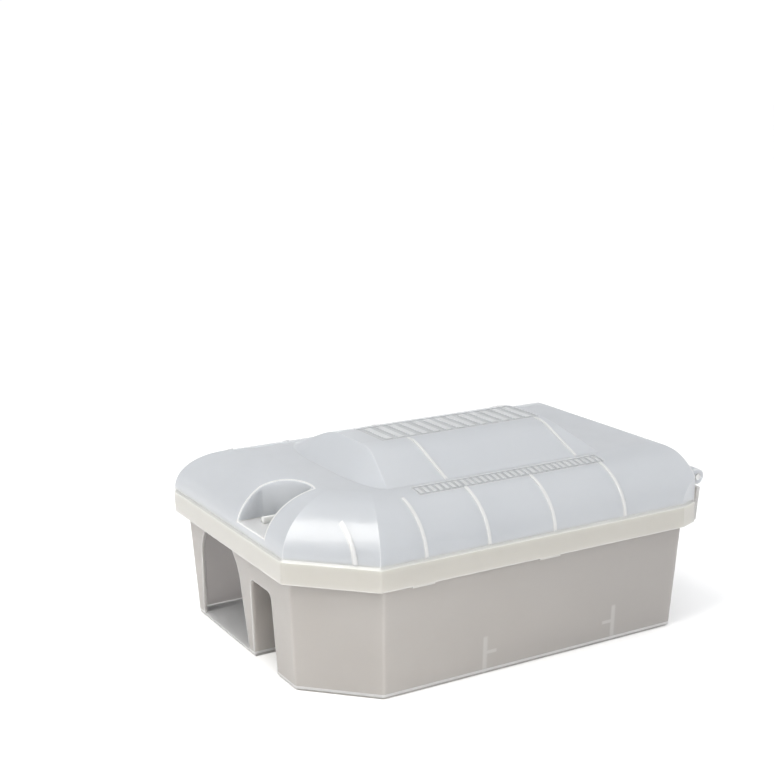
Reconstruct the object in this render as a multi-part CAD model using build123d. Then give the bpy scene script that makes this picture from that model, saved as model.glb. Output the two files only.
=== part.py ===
from build123d import *
import os
from math import atan2, cos, degrees, hypot, radians, sin, sqrt, tan

os.makedirs("parts", exist_ok=True)

# A lockable rat bait station. Millimetres. X runs along the station towards the hinge end,
# -Y is the front, Z is up, and the origin is on the ground at the middle of the whole object.

# ---- driving dimensions ------------------------------------------------------------------
BODY_X = -5.6                     # middle of the tray along X: the hinge stands out at +X
BASE_L, BASE_W = 260.0, 187.0     # tray's footprint on the ground
BASE_H = 84.0                     # top of the tray's rim
DRAFT = 3.3                       # degrees that the tray's walls lean outwards
CORNER_CUT = 38.6                 # front left corner cut, along each side
SMALL_CUT = 4.0                   # the other corners
WALL = 2.2
FLOOR = 2.4
ROOT = 1.0                        # how far ribs and seats run into the wall they stand on
REACH = 400.0                     # longer than the station: size of the blocks that cut through it
CORNER_R, FOOT_CHAMFER = 3.0, 1.4

RIM_W = 3.4                       # rim flange that the lid stands on
RIM_T = 2.0
RIM_END_X = 106.0                 # the rim stops here, clear of the lid's swinging corners
BAY_X = 126.0                     # the tray's sides drop from here to the hinge end

LID_L, LID_W = 282.4, 208.4       # lid skirt, outside
SKIRT_LOW, SKIRT_TOP = 71.5, 86.3
LID_CORNER_CUT = 42.5
LID_WALL = 2.0
LID_REST_GAP = 0.2                # between the skirt's ledge and the rim
SKIRT_CHAMFER = 1.3
HINGE_CUT_X, HINGE_CUT_Y = 14.3, 5.1    # the lid's two corners at the hinge end
FOOT_STEP = 1.5                   # ledge between the skirt and the domed cover
ROOF_Z = 117.4
SHOULDER_R, SHOULDER_H = 41.0, 31.1     # quarter-ellipse shoulder of the domed cover
ROOF_EDGE_R = 4.5                 # rounding of the roof's edge at the hinge end
END_WALL_LOW = 88.0               # lower edge of the lid's end wall, inside the upstand
END_BAY_GAP = 0.3                 # between the end wall's opening and the cut corners

TIER_Z = 133.5                    # crown of the raised panel on the roof
TIER_FLAT, TIER_R = 14.0, 50.0    # half width of its flat crown, and the rounding on each side
TIER_SLOPE = 23.5                 # degrees that its front and back run down at
TIER_RIDGE_X, RIDGE_LEAN = -74.8, 0.547  # left ridge: its X at the roof, and X per height
TIER_LEFT_X = -86.2               # low edge of the left fairing, just under the roof
TIER_RIGHT_X, RIGHT_LEAN = 84.0, 0.84    # right end face: its X at the roof, and X per height
TIER_ROOT = 4.0                   # how far the tier runs down into the roof
FAIRING_DROP = 0.6                # the fairing's low edge lies this much under the roof

RIB_W, RIB_PROUD = 1.8, 0.6
SHOULDER_RIB_X = (-114.5, -73.0, -29.0, 19.0, 73.5)
TIER_RIB_X = (-33.5, 65.5)
STRIP_X, STRIP_Y = (-61.0, 77.5), (-76.0, -65.0)     # band of short bars on the front shoulder
STRIP_PITCH, STRIP_BAR = 4.6, 2.2
PANEL_X, PANEL_Y = (-52.0, 70.0), (-16.0, 20.0)      # framed row of bars on the tier
PANEL_PITCH, PANEL_BAR = 9.0, 4.4
FRAME_W, RELIEF_DEPTH = 1.8, 0.6
LUG_X, LUG_L = (-83.0, 7.5), 15.0                    # lugs on the skirt's lower edge
LUG_T, LUG_DROP = 1.6, 1.2

POCKET_Y = (-35.5, 1.4)           # sides of the key pocket in the lid's left end
POCKET_ARC = (-140.0, -26.5, 30.0)      # its curved back wall: centre X and Y, radius
POCKET_ROUND = 6.0
POCKET_FLOOR = 91.5
KEY_Y = -17.0                     # middle line between the two catches

ARCH_Y, ARCH_HALF_W = 45.9, 36.2  # rodent entrance in the left end wall
ARCH_SPRING_Z, ARCH_R = 42.5, 31.0
RECESS_FLOOR_Y = (-31.0, 2.8)     # lock recess beside it: its sides at the ground and at its top
RECESS_TOP_Y = (-30.0, -0.6)
RECESS_H, RECESS_DEPTH = 54.0, 36.0
RECESS_ROUND = 5.0
BAFFLE_Y, BAFFLE_H = 8.0, 70.0    # wall between the tunnel and the bait chamber
BAFFLE_END_X = 56.0

TRAY_X = (-25.0, 71.9)            # space between the two pairs of tray guides
GUIDE_H, GUIDE_REACH, GUIDE_T = 25.0, 12.0, 2.0
LEDGE_Z, LEDGE_L, LEDGE_T = 15.0, 7.0, 1.6

BAIT_GAP, BAIT_REST = 0.6, 0.05   # round the bait tray, and between it and the ledges
BAIT_FRONT_GAP = 4.5              # from the tray's front wall at the ground
BAIT_TOP_Z, BAIT_WALL, BAIT_R = 46.0, 1.6, 6.0
ROD_R, ROD_Z, ROD_END_GAP = 1.6, 38.0, 0.3
ROD_SHARES = (0.3, 0.7)           # where the two rods lie across the bait tray

HINGE_X, HINGE_Z = 141.7, 99.5
PIN_R, PIN_L = 2.0, 187.0
PRESS, RUNNING = 0.02, 0.06       # radial interference in the ears, clearance in the curls
BARREL_R = 5.2
CURL_ARM_T = 3.7                  # arms between the lid's end wall and its curls
CURLS = ((-93.0, -75.0), (-9.0, 9.0), (75.0, 93.0))
EARS = ((-74.6, -60.0), (-24.0, -9.4), (9.4, 24.0), (60.0, 74.6))
UPSTAND_X, UPSTAND_T = 136.3, 2.2
UPSTAND_LEAN = 2.6                # how far it leans out over its height
UPSTAND_HALF_W, UPSTAND_H = 96.5, 93.6
STEP_LOW = 71.5                   # underside of the step that carries the upstand
EAR_WEB_H, EAR_WEB_ROOT = 6.0, 0.6

HOOK_X, HOOK_L = -127.0, 11.0     # catches under the key pocket
HOOK_OFFSET, HOOK_T = 9.0, 2.0    # from the middle line
HOOK_FOOT, HOOK_TOP = 57.2, 95.0
NOSE_LOW, NOSE_REACH, NOSE_EDGE = 92.2, 1.7, 0.8
NOSE_TIP = 0.5                    # width taken off the blade's top by the nose's slope
SLOT_GAP, SLOT_BACK = 0.35, 2.4   # gap round the catches, and room behind them to bend
SEAT_HALF_L, SEAT_HALF_W, SEAT_H = 8.0, 3.4, 6.0
SEAT_FLOOR = 0.7                  # bottom of a seat's slot above the housing

half_l, half_w = BASE_L / 2, BASE_W / 2
lid_half_l, lid_half_w = LID_L / 2, LID_W / 2
END_X = BODY_X + lid_half_l       # outer face of the lid's end wall
ENTRANCE_X = BODY_X - half_l      # outer face of the tray's left end at the ground


# ---- helpers ------------------------------------------------------------------------------
def block(x0, x1, y0, y1, z0, z1):
    """A box between two corners."""
    return Pos((x0 + x1) / 2, (y0 + y1) / 2, (z0 + z1) / 2) * Box(x1 - x0, y1 - y0, z1 - z0)


def upright_edges(solid):
    """Edges that run mostly upwards."""
    return [edge for edge in solid.edges() if abs(edge.tangent_at(0.5).Z) > 0.7]


def plan_face(hl, hw, cut, z, nib=SMALL_CUT):
    """Plan of the tray or lid at height z: one large corner cut and three small ones."""
    points = [
        (-hl + cut, -hw), (hl - nib, -hw), (hl, -hw + nib), (hl, hw - nib),
        (hl - nib, hw), (-hl + nib, hw), (-hl, hw - nib), (-hl, -hw + cut),
    ]
    return Pos(BODY_X, 0, z) * make_face(Polyline(*points, close=True))


def cut_inset(cut, inset):
    """Length of a 45 degree corner cut after every side moves in by inset."""
    return cut - inset * (2 - sqrt(2))


def tray_solid(inset, z0, z1, grow=0.0):
    """Drafted block of the tray's plan, with its sides moved in by inset."""
    faces = []
    for z in (z0, z1):
        shift = z * tan(radians(DRAFT)) - inset + grow
        faces.append(plan_face(half_l + shift, half_w + shift, cut_inset(CORNER_CUT, -shift), z))
    return loft(faces, ruled=True)


def skirt_solid(inset, z0, z1):
    """Upright block of the lid skirt's plan."""
    face = plan_face(lid_half_l - inset, lid_half_w - inset, cut_inset(LID_CORNER_CUT, inset), z0)
    return extrude(face, amount=z1 - z0, dir=(0, 0, 1))


def section(u0, u1, low, t, left, right):
    """Upright section with elliptical shoulders, moved in by t on its sides and top.

    left and right are each side's shoulder: its reach and its height.
    """
    top = ROOF_Z - t
    a0, b0 = left[0] - t, left[1] - t
    a1, b1 = right[0] - t, right[1] - t
    lo, hi = u0 + t, u1 - t
    outline = [
        Line((lo, low), (lo, top - b0)),
        EllipticalCenterArc((lo + a0, top - b0), a0, b0, start_angle=180, arc_size=-90),
        Line((lo + a0, top), (hi - a1, top)),
        EllipticalCenterArc((hi - a1, top - b1), a1, b1, start_angle=90, arc_size=-90),
        Line((hi, top - b1), (hi, low)),
        Line((hi, low), (lo, low)),
    ]
    return make_face(Wire(outline))


def hinge_wedges(t):
    """Blocks that cut the lid's two corners at the hinge end, moved in by t."""
    length = hypot(HINGE_CUT_X, HINGE_CUT_Y)
    angle = degrees(atan2(HINGE_CUT_Y, HINGE_CUT_X))
    wedges = []
    for side in (-1, 1):
        mid_x = END_X - HINGE_CUT_X / 2 - t * sin(radians(angle))
        mid_y = side * (lid_half_w - HINGE_CUT_Y / 2 - t * cos(radians(angle)))
        wedge = Rot(0, 0, -side * angle) * Pos(0, side * length / 2, 0) * Box(3 * length, length, REACH)
        wedges.append(Pos(mid_x, mid_y, 0) * wedge)
    return wedges


def dome(t, low=SKIRT_TOP - 1):
    """Domed cover without its tier, moved in by t."""
    shoulder = (SHOULDER_R, SHOULDER_H)
    edge = (ROOF_EDGE_R + max(t, 0), ROOF_EDGE_R + max(t, 0))
    reach_y = lid_half_w - FOOT_STEP
    reach_x = lid_half_l - FOOT_STEP
    across = section(-reach_y, reach_y, low, t, shoulder, shoulder)
    along = section(-reach_x, lid_half_l, low, t, shoulder, edge)
    corner_reach = (lid_half_l + lid_half_w - LID_CORNER_CUT) / sqrt(2) - FOOT_STEP
    corner = section(-corner_reach, REACH, low, t, shoulder, edge)
    front = Plane(origin=(BODY_X, 0, 0), x_dir=(0, 1, 0), z_dir=(1, 0, 0))
    side = Plane(origin=(BODY_X, 0, 0), x_dir=(1, 0, 0), z_dir=(0, -1, 0))
    diagonal = Plane(origin=(BODY_X, 0, 0), x_dir=(1, 1, 0), z_dir=(1, -1, 0))
    solid = extrude(front * across, amount=REACH, both=True)
    solid = solid & extrude(side * along, amount=REACH, both=True)
    solid = solid & extrude(diagonal * corner, amount=REACH, both=True)
    return solid - hinge_wedges(t + FOOT_STEP)


def tier_section(t, low, flatten=1.0):
    """Outline of the tier across the roof, moved in by t; flatten scales its height over low."""
    turn = radians(TIER_SLOPE)
    crown, r = TIER_Z - t, TIER_R - t

    def height(z):
        return low + (z - low) * flatten

    arc_y, arc_z = TIER_FLAT + r * sin(turn), crown - r * (1 - cos(turn))
    mid_y, mid_z = TIER_FLAT + r * sin(turn / 2), crown - r * (1 - cos(turn / 2))
    foot_y = arc_y + (arc_z - low) / tan(turn)
    return [
        Line((-foot_y, low), (-arc_y, height(arc_z))),
        ThreePointArc((-arc_y, height(arc_z)), (-mid_y, height(mid_z)), (-TIER_FLAT, height(crown))),
        Line((-TIER_FLAT, height(crown)), (TIER_FLAT, height(crown))),
        ThreePointArc((TIER_FLAT, height(crown)), (mid_y, height(mid_z)), (arc_y, height(arc_z))),
        Line((arc_y, height(arc_z)), (foot_y, low)),
        Line((foot_y, low), (-foot_y, low)),
    ]


def leaning_block(x, lean, z0, side):
    """Everything beyond an end plane that leans in with height, on one side along X."""
    tilt = degrees(atan2(lean, 1))
    turned = Rot(0, side * -tilt, 0) * Pos(side * REACH / 2, 0, 0) * Box(REACH, REACH, REACH)
    return Pos(x, 0, z0) * turned


def tier(t, low=ROOF_Z - TIER_ROOT):
    """Raised panel on the roof, moved in by t, with a fairing down to the roof at its left end."""
    across = Plane(origin=(0, 0, 0), x_dir=(0, 1, 0), z_dir=(1, 0, 0))
    body = extrude(across * make_face(Wire(tier_section(t, low))), amount=REACH / 2, both=True)
    right_x = TIER_RIGHT_X - t * hypot(1, RIGHT_LEAN)
    ridge_x = TIER_RIDGE_X + t
    body -= leaning_block(right_x, RIGHT_LEAN, ROOF_Z, 1)
    left = leaning_block(ridge_x, RIDGE_LEAN, ROOF_Z, -1)
    ridge = (body & left).faces().sort_by(Axis.X)[-1]
    body -= left
    foot = Plane(origin=(TIER_LEFT_X + t, 0, 0), x_dir=(0, 1, 0), z_dir=(1, 0, 0))
    share = (ROOF_Z - FAIRING_DROP - t - low) / (TIER_Z - t - low)
    return body + loft([foot * make_face(Wire(tier_section(t, low, share))), ridge], ruled=True)


def cylinder_y(radius, y0, y1):
    """Cylinder on the hinge axis."""
    return Pos(HINGE_X, (y0 + y1) / 2, HINGE_Z) * Rot(90, 0, 0) * Cylinder(radius, y1 - y0)


# ---- base tray ----------------------------------------------------------------------------
def arch_cutter():
    """Rodent entrance: straight sides that lean in, under a half-round head."""
    outline = [
        Line((-ARCH_HALF_W, FLOOR), (-ARCH_R, ARCH_SPRING_Z)),
        CenterArc((0, ARCH_SPRING_Z), ARCH_R, 180, -180),
        Line((ARCH_R, ARCH_SPRING_Z), (ARCH_HALF_W, FLOOR)),
        Line((ARCH_HALF_W, FLOOR), (-ARCH_HALF_W, FLOOR)),
    ]
    wall = Plane(origin=(ENTRANCE_X, ARCH_Y, 0), x_dir=(0, 1, 0), z_dir=(1, 0, 0))
    return extrude(wall * make_face(Wire(outline)), amount=RECESS_DEPTH / 2, both=True)


def recess_block(grow):
    """Lock recess in the end wall, or with grow its housing inside the tray."""
    (y0, y1), (y2, y3) = RECESS_FLOOR_Y, RECESS_TOP_Y
    top = RECESS_H + grow
    face = make_face(Polyline((y0 - grow, 0), (y1 + grow, 0), (y3 + grow, top),
                              (y2 - grow, top), close=True))
    face = fillet(face.vertices().group_by(Axis.Y)[-1], RECESS_ROUND)
    wall = Plane(origin=(ENTRANCE_X, 0, 0), x_dir=(0, 1, 0), z_dir=(1, 0, 0))
    return extrude(wall * face, amount=RECESS_DEPTH + grow, both=True)


def tray_guides():
    """Four upright guide ribs with ledges for the bait tray: two at the front, two at the baffle."""
    parts = []
    front_y, back_y = -half_w + ROOT, BAFFLE_Y
    for x, facing in ((TRAY_X[0], 1), (TRAY_X[1], -1)):
        rib_x = sorted((x, x - facing * GUIDE_T))
        ledge_x = sorted((x, x + facing * LEDGE_L))
        for y0, y1 in ((front_y, front_y + GUIDE_REACH), (back_y - GUIDE_REACH, back_y)):
            parts.append(block(*rib_x, y0, y1, ROOT, GUIDE_H))
            parts.append(block(*ledge_x, y0, y1, LEDGE_Z - LEDGE_T, LEDGE_Z))
    return parts


def hook_seats():
    """Slotted feet on the recess housing that hold the two catches."""
    parts = []
    top = RECESS_H + WALL
    for side in (-1, 1):
        y = KEY_Y + side * HOOK_OFFSET
        seat_x = (HOOK_X - SEAT_HALF_L, HOOK_X + SEAT_HALF_L)
        seat = block(*seat_x, y - SEAT_HALF_W, y + SEAT_HALF_W, top - ROOT, top + SEAT_H)
        slot_l, slot_w = HOOK_L / 2 + SLOT_GAP, HOOK_T / 2 + SLOT_GAP
        slot_x, slot_y = (HOOK_X - slot_l, HOOK_X + slot_l), (y - slot_w, y + slot_w)
        parts.append(seat - block(*slot_x, *slot_y, top + SEAT_FLOOR, top + SEAT_H + 1))
    return parts


def upstand():
    """Leaning plate outside the lid's end wall that carries the hinge ears."""
    x0, x1 = UPSTAND_X, UPSTAND_X + UPSTAND_T
    x2, x3 = x1 + UPSTAND_LEAN, x0 + UPSTAND_LEAN
    points = [(x0, STEP_LOW), (x1, STEP_LOW), (x2, UPSTAND_H), (x3, UPSTAND_H)]
    face = make_face(Polyline(*points, close=True))
    return extrude(Plane.XZ * face, amount=UPSTAND_HALF_W, both=True)


def hinge_ears():
    """Bored-through lugs on the upstand's top edge that hold the pin."""
    parts = []
    root_x = UPSTAND_X + UPSTAND_LEAN - EAR_WEB_ROOT
    for y0, y1 in EARS:
        parts.append(cylinder_y(BARREL_R, y0, y1))
        parts.append(block(root_x, HINGE_X + PIN_R, y0, y1, UPSTAND_H - EAR_WEB_H, HINGE_Z))
    return parts


def base_tray():
    shell = tray_solid(0, 0, BASE_H)
    shell = fillet(upright_edges(shell), CORNER_R)
    shell = chamfer(shell.faces().sort_by(Axis.Z)[0].edges(), FOOT_CHAMFER)
    shell -= tray_solid(WALL, FLOOR, BASE_H + 1)
    rim = tray_solid(0, BASE_H - RIM_T, BASE_H, grow=RIM_W) - tray_solid(WALL, STEP_LOW, BASE_H + 1)
    shell += rim & block(-REACH, RIM_END_X, -REACH, REACH, 0, REACH)
    inside = tray_solid(WALL / 2, 0, BASE_H)
    step_top, side_y = STEP_LOW + WALL, half_w - ROOT
    shell -= block(BAY_X, REACH, -side_y, side_y, step_top, REACH)
    step_x = (BAY_X + ROOT / 2, UPSTAND_X + UPSTAND_T)
    shell += [block(*step_x, -UPSTAND_HALF_W, UPSTAND_HALF_W, STEP_LOW, step_top), upstand()]
    shell += inside & recess_block(WALL)
    shell += inside & block(ENTRANCE_X, BAFFLE_END_X, BAFFLE_Y - WALL, BAFFLE_Y, ROOT, BAFFLE_H)
    shell += [inside & guide for guide in tray_guides()]
    shell += hook_seats()
    shell -= arch_cutter()
    shell -= recess_block(0)
    shell += hinge_ears()
    return shell - cylinder_y(PIN_R - PRESS, -UPSTAND_HALF_W, UPSTAND_HALF_W)


# ---- lid ----------------------------------------------------------------------------------
def pocket(grow, z0, z1):
    """Pocket with a curved back wall that runs out through the lid's left end."""
    x, y, r = POCKET_ARC
    well = Pos(x, y, (z0 + z1) / 2) * Cylinder(r + grow, z1 - z0)
    well &= block(x - 2 * r, x + 2 * r, POCKET_Y[0] - grow, POCKET_Y[1] + grow, z0, z1)
    inner_corners = [edge for edge in upright_edges(well) if edge.center().X > x]
    return fillet(inner_corners, POCKET_ROUND + grow)


def lid_skirt():
    """Skirt on three sides with the two returned corners at the hinge end."""
    outer = skirt_solid(0, SKIRT_LOW, SKIRT_TOP) - hinge_wedges(0)
    outer = fillet(upright_edges(outer), CORNER_R)
    outer = chamfer(outer.faces().sort_by(Axis.Z)[-1].edges(), SKIRT_CHAMFER)
    inner = skirt_solid(LID_WALL, SKIRT_LOW - 1, BASE_H + LID_REST_GAP) - hinge_wedges(LID_WALL)
    skirt = outer - inner - dome(LID_WALL, low=SKIRT_LOW - 1)
    bay = lid_half_w - HINGE_CUT_Y - END_BAY_GAP
    skirt -= block(END_X - 2.5 * LID_WALL, REACH, -bay, bay, 0, REACH)
    lug_y = lid_half_w - LID_WALL
    for x in LUG_X:
        lug_z = (SKIRT_LOW - LUG_DROP, SKIRT_LOW + ROOT)
        skirt += block(x, x + LUG_L, -lug_y - LUG_T, -lug_y, *lug_z)
    return skirt


def shoulder_ribs():
    """Thin beads down the front and back shoulders."""
    skin = dome(-RIB_PROUD) - dome(LID_WALL / 2)
    inner_y = abs(STRIP_Y[0])
    beads = []
    for x in SHOULDER_RIB_X:
        for y0, y1 in ((-lid_half_w, -inner_y), (inner_y, lid_half_w)):
            beads.append(skin & block(x - RIB_W / 2, x + RIB_W / 2, y0, y1, SKIRT_TOP, TIER_Z))
    return beads


def tier_ribs():
    """Thin beads down the tier's front and back slopes."""
    skin = tier(-RIB_PROUD) - tier(LID_WALL / 2)
    beads = []
    for x in TIER_RIB_X:
        for y0, y1 in ((-lid_half_w, PANEL_Y[0]), (PANEL_Y[1], lid_half_w)):
            beads.append(skin & block(x - RIB_W / 2, x + RIB_W / 2, y0, y1, ROOF_Z - 1, TIER_Z))
    return beads


def bars(x_span, y_span, pitch, width, low):
    """A row of plain upright bars between two X values."""
    count = int((x_span[1] - x_span[0] - width) / pitch) + 1
    first = (x_span[0] + x_span[1] - (count - 1) * pitch) / 2
    row = []
    for i in range(count):
        x = first + i * pitch
        row.append(block(x - width / 2, x + width / 2, *y_span, low, REACH))
    return row


def relief(cover):
    """Sinks a band on the shoulder and a framed panel on the tier, each with a row of plain bars."""
    band = block(*STRIP_X, *STRIP_Y, SKIRT_TOP, TIER_Z)
    inner_y = (STRIP_Y[0] + FRAME_W, STRIP_Y[1] - FRAME_W)
    band -= bars(STRIP_X, inner_y, STRIP_PITCH, STRIP_BAR, SKIRT_TOP)
    cover -= (dome(-1) - dome(RELIEF_DEPTH)) & band
    panel = block(*PANEL_X, *PANEL_Y, ROOF_Z, TIER_Z + 1)
    x0, x1, y0, y1 = *PANEL_X, *PANEL_Y
    inset = 2 * FRAME_W
    panel -= bars((x0 + inset, x1 - inset), (y0 + inset, y1 - inset), PANEL_PITCH, PANEL_BAR, 0)
    return cover - ((tier(-1) - tier(RELIEF_DEPTH)) & panel)


def key_slots():
    """Slots in the pocket's floor that the catches reach through."""
    slots = []
    for side in (-1, 1):
        y = KEY_Y + side * HOOK_OFFSET
        inner, outer = HOOK_T / 2 + SLOT_BACK, HOOK_T / 2 + NOSE_REACH + SLOT_GAP
        y0, y1 = (y - inner, y + outer) if side > 0 else (y - outer, y + inner)
        reach = HOOK_L / 2 + SLOT_GAP
        slots.append(block(HOOK_X - reach, HOOK_X + reach, y0, y1, BASE_H, POCKET_FLOOR + 1))
    return slots


def lid():
    outer = dome(0) + tier(0)
    inner = dome(LID_WALL, low=SKIRT_LOW) + tier(LID_WALL, low=ROOF_Z - 2 * TIER_ROOT)
    cover = outer - inner
    cover += lid_skirt()
    end_wall = block(END_X - LID_WALL, END_X, -lid_half_w, lid_half_w, END_WALL_LOW, ROOF_Z)
    cover += end_wall & dome(0)
    cover += pocket(LID_WALL, POCKET_FLOOR - LID_WALL, TIER_Z) & dome(0)
    cover += shoulder_ribs()
    cover += tier_ribs()
    cover = relief(cover)
    cover -= pocket(0, POCKET_FLOOR, REACH)
    cover -= key_slots()
    for y0, y1 in CURLS:
        curl = cylinder_y(BARREL_R, y0, y1)
        arm_top = HINGE_Z + BARREL_R
        arm = block(END_X - ROOT, HINGE_X, y0, y1, arm_top - CURL_ARM_T, arm_top)
        cover += [curl, arm]
        cover -= cylinder_y(PIN_R + RUNNING, y0 - 1, y1 + 1)
    return cover


# ---- small pieces ---------------------------------------------------------------------------
def hinge_pin():
    return cylinder_y(PIN_R, -PIN_L / 2, PIN_L / 2)


def latch_hook(side):
    """Upright catch with a nose at its top that points outwards from the pocket's middle."""
    y = KEY_Y + side * HOOK_OFFSET
    h = HOOK_T / 2
    points = [(-h, HOOK_FOOT), (h, HOOK_FOOT), (h, NOSE_LOW), (h + NOSE_REACH, NOSE_LOW),
              (h + NOSE_REACH, NOSE_LOW + NOSE_EDGE), (h - NOSE_TIP, HOOK_TOP), (-h, HOOK_TOP)]
    plane = Plane(origin=(HOOK_X, y, 0), x_dir=(0, side, 0), z_dir=(side, 0, 0))
    return extrude(plane * make_face(Polyline(*points, close=True)), amount=HOOK_L / 2, both=True)


def bait_spans():
    """The bait tray's X and Y spans, outside."""
    x_span = (TRAY_X[0] + BAIT_GAP, TRAY_X[1] - BAIT_GAP)
    return x_span, (-half_w + BAIT_FRONT_GAP, BAFFLE_Y - WALL - BAIT_GAP)


def bait_tray():
    """Open tray that stands on the four guide ledges, with notches for the rods."""
    (x0, x1), (y0, y1) = bait_spans()
    z0, z1, t = LEDGE_Z + BAIT_REST, BAIT_TOP_Z, BAIT_WALL
    tray = block(x0, x1, y0, y1, z0, z1)
    tray = fillet(tray.edges().filter_by(Axis.Z), BAIT_R)
    hollow = block(x0 + t, x1 - t, y0 + t, y1 - t, z0 + t, z1 + 1)
    return tray - fillet(hollow.edges().filter_by(Axis.Z), BAIT_R - t)


def bait_rod(share):
    """Wire rod along the tray, seated in its two end walls."""
    (x0, x1), (y0, y1) = bait_spans()
    at = Pos((x0 + x1) / 2, y0 + share * (y1 - y0), ROD_Z)
    return at * Rot(0, 90, 0) * Cylinder(ROD_R, x1 - x0 - 2 * ROD_END_GAP)


rods = {name: bait_rod(share) for name, share in zip(("bait_rod_front", "bait_rod_back"), ROD_SHARES)}
tray = bait_tray()
for rod in rods.values():
    tray -= rod

nodes = {
    "base_tray": base_tray(),
    "lid": lid(),
    "hinge_pin": hinge_pin(),
    "bait_tray": tray,
    "latch_hook_back": latch_hook(1),
    "latch_hook_front": latch_hook(-1),
    **rods,
}
for name, solid in nodes.items():
    solid.label = name
    export_step(solid, f"parts/{name}.step")
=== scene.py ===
import math

import bpy
from mathutils import Matrix, Vector


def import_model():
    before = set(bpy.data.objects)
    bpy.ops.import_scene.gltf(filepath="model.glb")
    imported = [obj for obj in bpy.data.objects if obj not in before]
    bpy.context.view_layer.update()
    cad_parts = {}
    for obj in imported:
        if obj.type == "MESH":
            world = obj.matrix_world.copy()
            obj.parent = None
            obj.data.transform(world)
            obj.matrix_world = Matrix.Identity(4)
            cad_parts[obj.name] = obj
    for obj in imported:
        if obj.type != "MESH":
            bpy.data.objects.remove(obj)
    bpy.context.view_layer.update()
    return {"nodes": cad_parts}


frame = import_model()
NODES = frame["nodes"]

MM = 0.001                                    # one millimetre, in the scene's metres

# ---------------------------------------------------------------- camera
CAMERA_AT = (-0.48287, -0.76287, 0.36815)
CAMERA_AZIMUTH = -30.19
CAMERA_DOWN = 12.93
CAMERA_ROLL = -0.38
LENS = 66.07
SENSOR = 36.0


def studio_camera():
    az, down, roll = (math.radians(a) for a in (CAMERA_AZIMUTH, CAMERA_DOWN, CAMERA_ROLL))
    forward = Vector((-math.sin(az) * math.cos(down), math.cos(az) * math.cos(down), -math.sin(down)))
    right = Vector((math.cos(az), math.sin(az), 0.0))
    up = right.cross(forward)
    side = right * math.cos(roll) + up * math.sin(roll)
    top = up * math.cos(roll) - right * math.sin(roll)
    turn = Matrix((side, top, -forward)).transposed().to_4x4()
    data = bpy.data.cameras.new("studio_camera")
    data.lens = LENS
    data.sensor_width = SENSOR
    data.clip_start = 0.01
    camera = bpy.data.objects.new("studio_camera", data)
    camera.matrix_world = Matrix.Translation(CAMERA_AT) @ turn
    bpy.context.scene.collection.objects.link(camera)
    bpy.context.scene.camera = camera


# ---------------------------------------------------------------- the part's own dimensions, in millimetres
RIB_X = (-114.5, -73.0, -29.0, 19.0, 73.5)    # beads down the shoulders
RIB_INNER_Y = 75.5                            # they start outside this
TIER_RIB_X = (-33.5, 65.5)
RIB_HALF_W = 0.95
ROOF_Z = 117.6                                # just over the roof, under the tier's ribs
SHOULDER_Y = 61.7                             # where the quarter-ellipse shoulder starts
SHOULDER_R, SHOULDER_H, SHOULDER_Z = 41.0, 31.1, 86.3
BAND_X, BAND_Y = (-61.0, 77.5), (-76.0, -65.0)
PANEL_X, PANEL_Y = (-52.0, 70.0), (-16.0, 20.0)
TIER_Z, TIER_FLAT, TIER_R = 133.5, 14.0, 50.0
RELIEF_DEPTHS = (0.4, 1.2)                    # a sunk face lies between these under the skin
POCKET_X, POCKET_Y, POCKET_R = -140.0, -26.5, 30.0
POCKET_SIDES = (-35.5, 1.4)
POCKET_FLOOR = (91.0, 91.8)
DRAFT_SLOPE = 0.0577                          # how far the tray's walls lean out per height
TUNNEL_X, TUNNEL_Y = -134.2, (7.0, 91.8)      # end wall, baffle and back wall, inside at the ground
TRAY_FLOOR = (1.8, 3.0)
FRONT_Y = -88.5                               # anything further forward is the front wall
GUIDE_X, GUIDE_HALF_W, GUIDE_H = (-26.0, 72.9), 0.9, 24.0
LEDGE_X, LEDGE_HALF_L, LEDGE_Z = (-21.5, 68.4), 3.5, (13.4, 15.0)

# ---------------------------------------------------------------- colours
TRAY_COLOURS = ((0.510, 0.480, 0.450), (0.585, 0.555, 0.527))
# painted shade: the tray's walls darken towards the hinge end, standing in for light falling off to the
# right
TRAY_HINGE_END_PAINTED_SHADE = (0.435, 0.415, 0.400)
# painted shade inside the entrance tunnel
TUNNEL_PAINTED_SHADE = (0.36, 0.345, 0.345)
# painted light: the floor's top is nearly white, standing in for light coming up through it from the bright
# ground
TRAY_FLOOR_PAINTED_LIGHT = (0.97, 0.955, 0.93)
# painted light: paler colour over the guide ribs' marks and along the edges
TRAY_PAINTED_LIGHT = (0.86, 0.85, 0.83)
DOME_COLOURS = ((0.540, 0.566, 0.602), (0.625, 0.648, 0.678))
SKIRT_COLOURS = ((0.585, 0.567, 0.520), (0.635, 0.628, 0.560))
# painted light: pale colour over the lid's beads, edges, key pocket and raised relief faces
LID_PAINTED_LIGHT = (0.94, 0.94, 0.91)
RELIEF_SHADE = (0.47, 0.485, 0.50)
INSERT_COLOUR, CATCH_COLOUR = (0.80, 0.79, 0.77), (0.82, 0.82, 0.80)
STEEL_COLOURS = ((0.50, 0.50, 0.50), (0.66, 0.66, 0.65))
FLOOR_COLOURS = ((0.93, 0.93, 0.93), (0.95, 0.95, 0.95))


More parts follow.
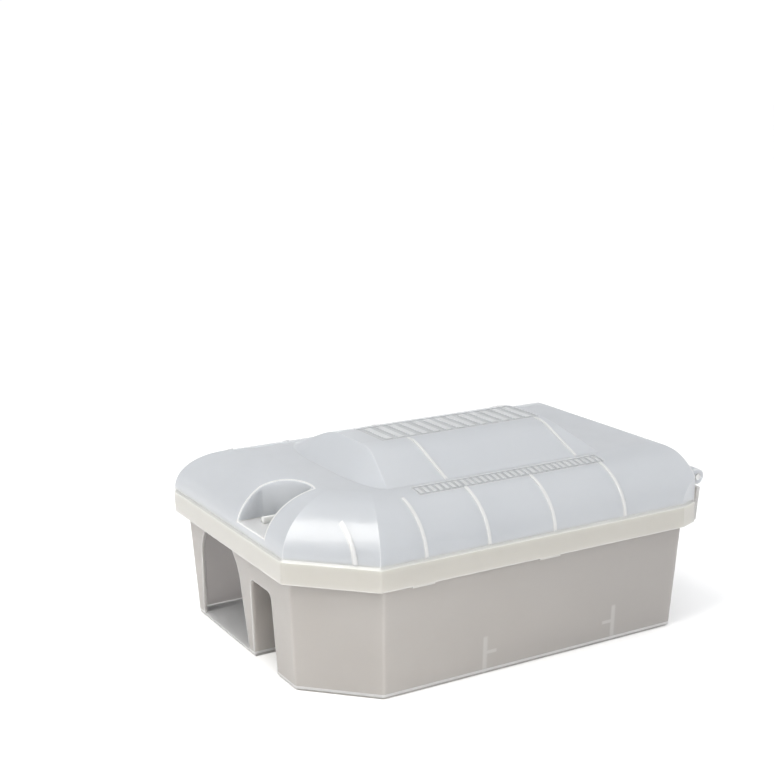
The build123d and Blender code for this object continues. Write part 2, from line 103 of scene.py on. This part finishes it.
# ---------------------------------------------------------------- materials
class Nodes:
    """A new node material, with short ways to add nodes and link them. Lengths are in millimetres."""

    def __init__(self, name):
        self.material = bpy.data.materials.new(name)
        self.material.use_nodes = True
        self.tree = self.material.node_tree
        self.shader = self.tree.nodes["Principled BSDF"]

    def add(self, kind, **settings):
        node = self.tree.nodes.new(kind)
        for key, value in settings.items():
            setattr(node, key, value)
        return node

    def link(self, source, target):
        self.tree.links.new(source, target)

    def paint(self, source, socket):
        self.link(source, self.shader.inputs[socket])

    def place(self):
        return self.add("ShaderNodeTexCoord").outputs["Object"]

    def noise(self, scale, detail=2.0):
        node = self.add("ShaderNodeTexNoise")
        self.link(self.place(), node.inputs["Vector"])
        node.inputs["Scale"].default_value = scale
        node.inputs["Detail"].default_value = detail
        return node.outputs["Fac"]

    def spread(self, value, low, high, to_low=0.0, to_high=1.0, smooth=False):
        node = self.add("ShaderNodeMapRange")
        node.interpolation_type = "SMOOTHSTEP" if smooth else "LINEAR"
        self.link(value, node.inputs["Value"])
        numbers = {"From Min": low, "From Max": high, "To Min": to_low, "To Max": to_high}
        for key, number in numbers.items():
            node.inputs[key].default_value = number
        return node.outputs["Result"]

    def calc(self, operation, a, b=None):
        node = self.add("ShaderNodeMath", operation=operation)
        for socket, value in zip(node.inputs, (a, b)):
            if isinstance(value, (int, float)):
                socket.default_value = value
            elif value is not None:
                self.link(value, socket)
        return node.outputs["Value"]

    def all_of(self, *masks):
        """1 where every mask is 1."""
        total = masks[0]
        for mask in masks[1:]:
            total = self.calc("MULTIPLY", total, mask)
        return total

    def any_of(self, *masks):
        """The largest of the masks."""
        total = masks[0]
        for mask in masks[1:]:
            total = self.calc("MAXIMUM", total, mask)
        return total

    def share(self, mask, amount):
        return self.calc("MULTIPLY", mask, amount)

    def mix(self, factor, a, b):
        node = self.add("ShaderNodeMix", data_type="RGBA")
        self.link(factor, node.inputs["Factor"])
        for socket, value in ((node.inputs["A"], a), (node.inputs["B"], b)):
            if isinstance(value, tuple):
                socket.default_value = (*value, 1.0)
            else:
                self.link(value, socket)
        return node.outputs["Result"]

    def axes(self):
        node = self.add("ShaderNodeSeparateXYZ")
        self.link(self.place(), node.inputs["Vector"])
        return node.outputs["X"], node.outputs["Y"], node.outputs["Z"]

    def over(self, value, low, high):
        """0 below low, 1 above high."""
        return self.spread(value, low * MM, high * MM)

    def under(self, value, low, high):
        """1 below low, 0 above high."""
        return self.spread(value, low * MM, high * MM, 1.0, 0.0)

    def inside(self, value, low, high, soft=0.4):
        """1 between low and high, 0 outside."""
        return self.all_of(self.over(value, low - soft, low), self.under(value, high, high + soft))

    def bands(self, x, centres, half_width, soft=0.3):
        """1 inside a band around each X, 0 outside."""
        ones = []
        for centre in centres:
            away = self.calc("ABSOLUTE", self.calc("SUBTRACT", x, centre * MM))
            ones.append(self.under(away, half_width, half_width + soft))
        return self.any_of(*ones)

    def edges(self, radius):
        """1 near the piece's edges, where a painted highlight stands for light gathering in the plastic."""
        bevel = self.add("ShaderNodeBevel", samples=6)
        bevel.inputs["Radius"].default_value = radius * MM
        dot = self.add("ShaderNodeVectorMath", operation="DOT_PRODUCT")
        self.link(bevel.outputs["Normal"], dot.inputs[0])
        self.link(self.add("ShaderNodeNewGeometry").outputs["Normal"], dot.inputs[1])
        return self.spread(dot.outputs["Value"], 0.985, 0.80, 0.0, 1.0, smooth=True)

    def satin(self, scale, low, high):
        """Cloudy roughness between two values."""
        self.paint(self.spread(self.noise(scale, 4.0), 0.3, 0.7, low, high), "Roughness")

    def bump(self, heights):
        """Stacks bumps: (height, strength, distance in metres) each."""
        normal = None
        for height, strength, distance in heights:
            node = self.add("ShaderNodeBump")
            node.inputs["Strength"].default_value = strength
            node.inputs["Distance"].default_value = distance
            self.link(height, node.inputs["Height"])
            if normal is not None:
                self.link(normal, node.inputs["Normal"])
            normal = node.outputs["Normal"]
        self.paint(normal, "Normal")


def translucent(nodes, weight, scale):
    """Milky plastic: part of the light passes straight through, the rest scatters inside."""
    settings = {
        "IOR": 1.49, "Transmission Weight": weight, "Subsurface Weight": 1.0,
        "Subsurface Radius": (1.0, 1.0, 1.0), "Subsurface Scale": scale * MM,
    }
    for socket, value in settings.items():
        nodes.shader.inputs[socket].default_value = value


def tunnel_walls(n, x, y, z):
    """1 on the walls inside the entrance tunnel, where painted shade goes."""
    lean = n.calc("MULTIPLY", z, DRAFT_SLOPE)
    back = n.under(n.calc("SUBTRACT", y, lean), TUNNEL_Y[1], TUNNEL_Y[1] + 0.4)
    baffle = n.over(y, TUNNEL_Y[0], TUNNEL_Y[0] + 0.8)
    end = n.over(n.calc("ADD", x, lean), TUNNEL_X, TUNNEL_X + 0.4)
    return n.all_of(back, baffle, end, n.over(z, 3.0, 4.0))


def guide_rib_painted_light(n, x, y, z):
    """1 on the front wall where the guide ribs and their ledges stand behind it; painted light lightens the
    wall there.
    """
    guides = n.all_of(n.bands(x, GUIDE_X, GUIDE_HALF_W, 1.2), n.under(z, GUIDE_H, GUIDE_H + 1.5))
    ledges = n.all_of(n.bands(x, LEDGE_X, LEDGE_HALF_L, 1.0), n.inside(z, *LEDGE_Z, 0.6))
    return n.all_of(n.any_of(guides, ledges), n.under(y, FRONT_Y, FRONT_Y + 1.0))


def tray_material():
    n = Nodes("natural_tray_plastic")
    translucent(n, 0.45, 9.0)
    x, y, z = n.axes()
    wall = n.mix(n.noise(14.0, 3.0), *TRAY_COLOURS)
    # painted shade: the walls darken towards the hinge end
    wall = n.mix(n.spread(x, -0.10, 0.13, 0.0, 0.8, smooth=True), wall, TRAY_HINGE_END_PAINTED_SHADE)
    # painted shade on the tunnel's inner walls
    wall = n.mix(n.share(tunnel_walls(n, x, y, z), 0.8), wall, TUNNEL_PAINTED_SHADE)
    # painted light on the floor's top
    colour = n.mix(n.inside(z, *TRAY_FLOOR), wall, TRAY_FLOOR_PAINTED_LIGHT)
    # painted light on the front wall over the guide ribs and along the edges
    light = n.any_of(n.share(guide_rib_painted_light(n, x, y, z), 0.38), n.share(n.edges(2.4), 0.80))
    n.paint(n.mix(light, colour, TRAY_PAINTED_LIGHT), "Base Color")
    n.satin(60.0, 0.34, 0.46)
    n.bump([(n.noise(9.0), 0.25, 0.004), (n.noise(900.0), 0.08, 0.0004)])
    return n.material


def sunk_faces(n, skin, x, y, z, x_span, y_span):
    """1 on the sunk faces of a relief, and 1 over its whole region."""
    sunk = n.inside(n.calc("SUBTRACT", skin, z), *RELIEF_DEPTHS, 0.15)
    region = n.all_of(n.inside(x, *x_span), n.inside(y, *y_span))
    return n.all_of(sunk, region), region


def shoulder_skin(n, y):
    """Height of the front shoulder's quarter ellipse."""
    reach = n.calc("MULTIPLY", n.calc("ADD", y, SHOULDER_Y * MM), -1.0 / (SHOULDER_R * MM))
    reach = n.calc("MAXIMUM", reach, 0.0)
    height = n.calc("SQRT", n.calc("SUBTRACT", 1.0, n.calc("MULTIPLY", reach, reach)))
    return n.calc("ADD", n.calc("MULTIPLY", height, SHOULDER_H * MM), SHOULDER_Z * MM)


def tier_skin(n, y):
    """Height of the tier's crown, which rounds off beyond its flat."""
    past = n.calc("MAXIMUM", n.calc("SUBTRACT", n.calc("ABSOLUTE", y), TIER_FLAT * MM), 0.0)
    drop = n.calc("MULTIPLY", n.calc("MULTIPLY", past, past), 0.5 / (TIER_R * MM))
    return n.calc("SUBTRACT", TIER_Z * MM, drop)


def lid_ribs(n, x, y, z):
    """1 on the beads down the shoulders and the tier, which get a painted highlight."""
    outside = n.over(n.calc("ABSOLUTE", y), RIB_INNER_Y, RIB_INNER_Y + 0.7)
    on_shoulder = n.all_of(n.over(z, 87.0, 87.4), outside)
    shoulder = n.all_of(n.bands(x, RIB_X, RIB_HALF_W), on_shoulder)
    tier = n.all_of(n.bands(x, TIER_RIB_X, RIB_HALF_W), n.over(z, ROOF_Z, ROOF_Z + 0.8))
    return n.any_of(shoulder, tier)


def pocket_plan(n, x, y, grow, soft):
    """1 inside the key pocket's plan: a round back wall between two straight sides."""
    dx, dy = n.calc("SUBTRACT", x, POCKET_X * MM), n.calc("SUBTRACT", y, POCKET_Y * MM)
    away = n.calc("SQRT", n.calc("ADD", n.calc("MULTIPLY", dx, dx), n.calc("MULTIPLY", dy, dy)))
    round_wall = n.under(away, POCKET_R + grow, POCKET_R + grow + soft)
    return n.all_of(round_wall, n.inside(y, POCKET_SIDES[0] - grow, POCKET_SIDES[1] + grow, soft))


def pocket_painted_highlight(n, x, y, z):
    """1 on the key pocket's floor and on the rim around its mouth, where a painted highlight goes."""
    within = pocket_plan(n, x, y, 0.2, 0.2)
    ring = n.calc("SUBTRACT", pocket_plan(n, x, y, 1.3, 0.3), within)
    return n.any_of(n.all_of(within, n.inside(z, *POCKET_FLOOR, 0.2)), n.all_of(ring, n.over(z, 90.0, 91.0)))


def lid_material():
    n = Nodes("natural_lid_plastic")
    translucent(n, 0.45, 7.0)
    x, y, z = n.axes()
    dome = n.mix(n.noise(12.0, 3.0), *DOME_COLOURS)
    skirt = n.mix(n.spread(z, 0.0820, 0.0855, smooth=True), *SKIRT_COLOURS)
    colour = n.mix(n.spread(z, 0.0835, 0.0885, smooth=True), skirt, dome)
    band_sunk, band = sunk_faces(n, shoulder_skin(n, y), x, y, z, BAND_X, BAND_Y)
    panel_sunk, panel = sunk_faces(n, tier_skin(n, y), x, y, z, PANEL_X, PANEL_Y)
    sunk, relief = n.any_of(band_sunk, panel_sunk), n.any_of(band, panel)
    plain = n.calc("SUBTRACT", 1.0, relief)
    # painted light on the relief's raised faces
    raised = n.share(n.calc("SUBTRACT", relief, sunk), 0.35)
    # painted highlight on the beads
    ribs = n.share(n.all_of(lid_ribs(n, x, y, z), plain), 0.75)
    # painted highlight along the lid's edges
    edge = n.share(n.all_of(n.edges(1.8), plain), 0.80)
    light = n.any_of(ribs, edge, pocket_painted_highlight(n, x, y, z), raised)
    # painted light mixed into the lid's colour
    colour = n.mix(light, colour, LID_PAINTED_LIGHT)
    # painted shade on the relief's sunk faces
    n.paint(n.mix(n.share(sunk, 0.75), colour, RELIEF_SHADE), "Base Color")
    n.satin(50.0, 0.31, 0.38)
    n.shader.inputs["Coat Weight"].default_value = 0.6
    n.shader.inputs["Coat Roughness"].default_value = 0.16
    n.shader.inputs["Coat IOR"].default_value = 1.5
    n.bump([(n.noise(8.0), 0.25, 0.004), (n.noise(900.0), 0.06, 0.0004)])
    return n.material


def small_plastic(name, colour):
    """Plastic of the bait tray and the catches."""
    n = Nodes(name)
    translucent(n, 0.2, 3.0)
    n.paint(n.mix(n.noise(30.0, 3.0), tuple(c * 0.96 for c in colour), colour), "Base Color")
    n.satin(80.0, 0.35, 0.48)
    n.bump([(n.noise(700.0), 0.1, 0.0004)])
    return n.material


def steel_material(name):
    n = Nodes(name)
    n.shader.inputs["Metallic"].default_value = 1.0
    cloud = n.noise(120.0, 5.0)
    n.paint(n.mix(cloud, *STEEL_COLOURS), "Base Color")
    n.paint(n.spread(cloud, 0.3, 0.7, 0.26, 0.42), "Roughness")
    n.bump([(n.noise(1500.0), 0.1, 0.0002)])
    return n.material


def dress(node, material):
    piece = NODES[node]
    piece.data.materials.clear()
    piece.data.materials.append(material)


def dress_all():
    insert = small_plastic("insert_plastic", INSERT_COLOUR)
    catch = small_plastic("catch_plastic", CATCH_COLOUR)
    steel = steel_material("bright_steel")
    dress("base_tray", tray_material())
    dress("lid", lid_material())
    dress("bait_tray", insert)
    for side in ("back", "front"):
        dress(f"latch_hook_{side}", catch)
        dress(f"bait_rod_{side}", steel)
    dress("hinge_pin", steel)


# ---------------------------------------------------------------- studio
FLOOR_SIZE = 16.0
WARM_WHITE = (1.0, 0.98, 0.94)
FRONT_WHITE = (1.0, 0.98, 0.95)
SKY_COLOUR = (0.97, 0.98, 1.0, 1.0)
SKY = {"From Min": 0.06, "From Max": 0.16, "To Min": 1.06, "To Max": 0.76}


def floor():
    bpy.ops.mesh.primitive_plane_add(size=FLOOR_SIZE, location=(0.0, 0.0, 0.0))
    plane = bpy.context.object
    plane.name = "studio_floor"
    n = Nodes("pale_floor")
    n.paint(n.mix(n.noise(3.0), *FLOOR_COLOURS), "Base Color")
    n.shader.inputs["Roughness"].default_value = 0.9
    plane.data.materials.append(n.material)


def hang(name, data, direction, at=(0.0, 0.0, 0.0)):
    """Puts a lamp into the scene, shining along a direction."""
    lamp = bpy.data.objects.new(name, data)
    bpy.context.scene.collection.objects.link(lamp)
    turn = Vector(direction).to_track_quat("-Z", "Y").to_matrix().to_4x4()
    lamp.matrix_world = Matrix.Translation(at) @ turn


def softbox(name, at, look, size, power, colour):
    data = bpy.data.lights.new(name, "AREA")
    data.shape = "RECTANGLE"
    data.size, data.size_y = size
    data.energy = power
    data.color = colour
    hang(name, data, Vector(look) - Vector(at), at)


def broad_lamp(name, direction, strength, spread_deg):
    """A sun with a very wide disc: even, nearly shadowless light on the floor."""
    data = bpy.data.lights.new(name, "SUN")
    data.energy = strength
    data.angle = math.radians(spread_deg)
    hang(name, data, direction)


def world():
    """Pale surroundings, brightest near the horizon."""
    w = bpy.data.worlds.new("studio_world")
    w.use_nodes = True
    tree = w.node_tree
    back = tree.nodes["Background"]
    place = tree.nodes.new("ShaderNodeTexCoord")
    split = tree.nodes.new("ShaderNodeSeparateXYZ")
    level = tree.nodes.new("ShaderNodeMapRange")
    tree.links.new(place.outputs["Generated"], split.inputs["Vector"])
    tree.links.new(split.outputs["Z"], level.inputs["Value"])
    for key, number in SKY.items():
        level.inputs[key].default_value = number
    tree.links.new(level.outputs["Result"], back.inputs["Strength"])
    back.inputs["Color"].default_value = SKY_COLOUR
    bpy.context.scene.world = w


def studio():
    world()
    floor()
    broad_lamp("overhead_light", (0.1, 0.25, -1.0), 1.12, 120.0)
    near_shoulder, front_wall = (-0.119, -0.078, 0.103), (-0.02, -0.09, 0.04)
    softbox("key_softbox", (-0.79, -0.196, 1.0), near_shoulder, (0.50, 1.22), 10.5, WARM_WHITE)
    softbox("front_softbox", (-0.20, -1.25, 0.42), front_wall, (0.8, 0.5), 5.0, FRONT_WHITE)


bpy.context.scene.view_settings.view_transform = "Standard"
studio_camera()
dress_all()
studio()
